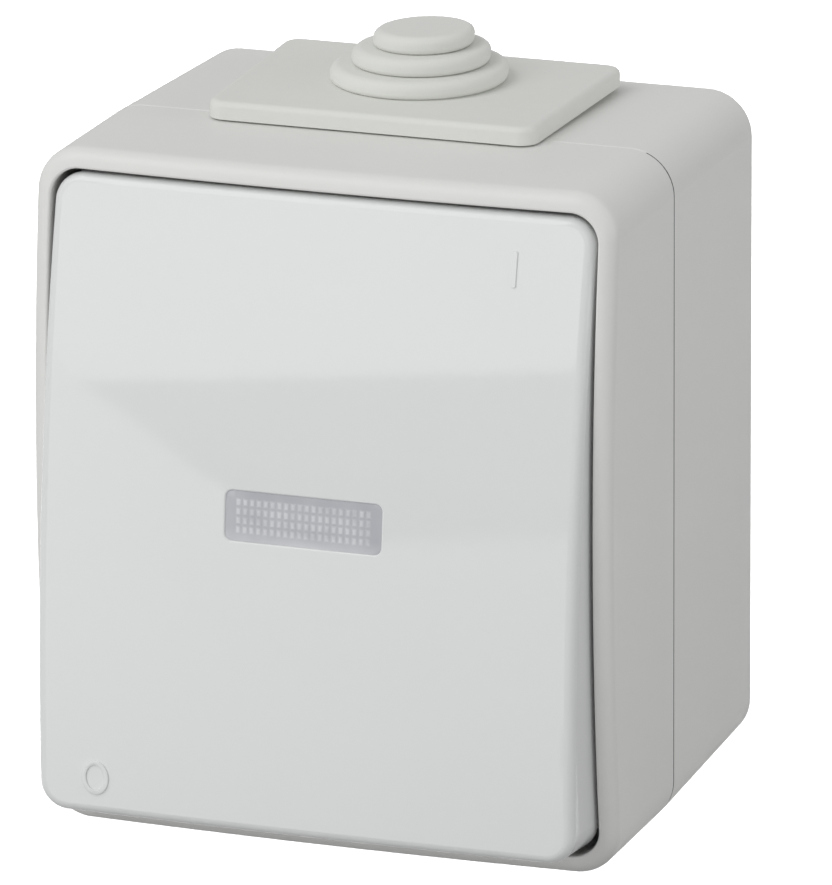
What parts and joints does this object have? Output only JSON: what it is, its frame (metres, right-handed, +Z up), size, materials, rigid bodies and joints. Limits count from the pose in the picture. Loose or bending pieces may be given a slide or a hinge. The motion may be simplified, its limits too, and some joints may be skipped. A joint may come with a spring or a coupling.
{
  "type": "weatherproof rocker switch",
  "caption": "Surface-mounted outdoor rocker switch in a sealed box, with an indicator window, a stepped cable grommet and its working mechanism inside.",
  "frame": {"origin": "centre of the flat back that lies on the wall", "axes": "+X to the right, +Y into the wall, +Z up; the rocker faces -Y"},
  "size_m": [0.066, 0.0562, 0.0843],
  "materials": {
    "housing_grey": "fine satin moulding",
    "rocker_white": "smooth gloss moulding",
    "window_clear": "clear moulding with prisms behind",
    "grommet_grey": "soft matte elastomer",
    "seal_black": "soft matte elastomer",
    "membrane_silicone": "translucent silicone",
    "insert_white": "fine matte moulding",
    "toggle_grey": "smooth moulding",
    "plunger_white": "slippery smooth moulding",
    "brass": "stamped",
    "bronze": "stamped spring bronze",
    "silver": "coined contact",
    "screw_steel": "zinc plated",
    "spring_steel": "drawn wire",
    "lamp_glass": "blown clear glass",
    "lead_tin": "tinned wire"
  },
  "bodies": {
    "housing": {"rear_box": "housing_grey", "front_cover": "housing_grey", "cover_seal": "seal_black", "cover_screws": "screw_steel", "cable_grommet": "grommet_grey", "rocker_membrane": "membrane_silicone", "switch_body": "insert_white", "insert_screws": "screw_steel", "bearing_plate": "insert_white", "terminal_screws": "screw_steel", "earth_terminal": "brass", "earth_screw": "screw_steel", "lamp_holder": "insert_white", "neon_lamp": "lamp_glass", "lamp_leads": "lead_tin", "common_terminal_left": "brass", "fixed_terminal_left": "brass", "fixed_rivet_left": "silver", "common_terminal_right": "brass", "fixed_terminal_right": "brass", "fixed_rivet_right": "silver"},
    "rocker": {"rocker": "rocker_white", "window_lens": "window_clear"},
    "toggle": {"toggle": "toggle_grey", "plunger_spring_left": "spring_steel", "plunger_spring_right": "spring_steel"},
    "plunger_left": {"plunger_left": "plunger_white"},
    "contact_left": {"contact_arm_left": "bronze", "arm_rivet_left": "silver"},
    "plunger_right": {"plunger_right": "plunger_white"},
    "contact_right": {"contact_arm_right": "bronze", "arm_rivet_right": "silver"}
  },
  "joints": [
    {"name": "rocker_tilt", "type": "hinge", "parent": "housing", "child": "rocker", "pos_m": [0, -0.0465, 0], "axis": [1, 0, 0], "range_deg": [0, 12.8], "deforming": ["rocker_membrane"]},
    {"name": "toggle_swing", "type": "hinge", "parent": "housing", "child": "toggle", "pos_m": [0, -0.0247, 0], "axis": [1, 0, 0], "range_deg": [-23.8, 0]},
    {"name": "contact_left_swing", "type": "hinge", "parent": "housing", "child": "contact_left", "pos_m": [-0.01065, -0.012, 0], "axis": [1, 0, 0], "range_deg": [0, 10.1]},
    {"name": "contact_right_swing", "type": "hinge", "parent": "housing", "child": "contact_right", "pos_m": [0.01065, -0.012, 0], "axis": [1, 0, 0], "range_deg": [0, 10.1]},
    {"name": "plunger_left_slide", "type": "slide", "parent": "toggle", "child": "plunger_left", "axis": [0, -0.9786, -0.2056], "range_m": [0, 0.0006], "stiffness_N_per_m": 300, "deforming": ["plunger_spring_left"]},
    {"name": "plunger_right_slide", "type": "slide", "parent": "toggle", "child": "plunger_right", "axis": [0, -0.9786, -0.2056], "range_m": [0, 0.0006], "stiffness_N_per_m": 300, "deforming": ["plunger_spring_right"]}
  ],
  "couplings": [
    {"joint": "toggle_swing", "follows": "rocker_tilt", "ratio": -1.8534},
    {"joint": "contact_left_swing", "follows": "rocker_tilt", "ratio": 0.78125},
    {"joint": "contact_right_swing", "follows": "rocker_tilt", "ratio": 0.78125}
  ]
}
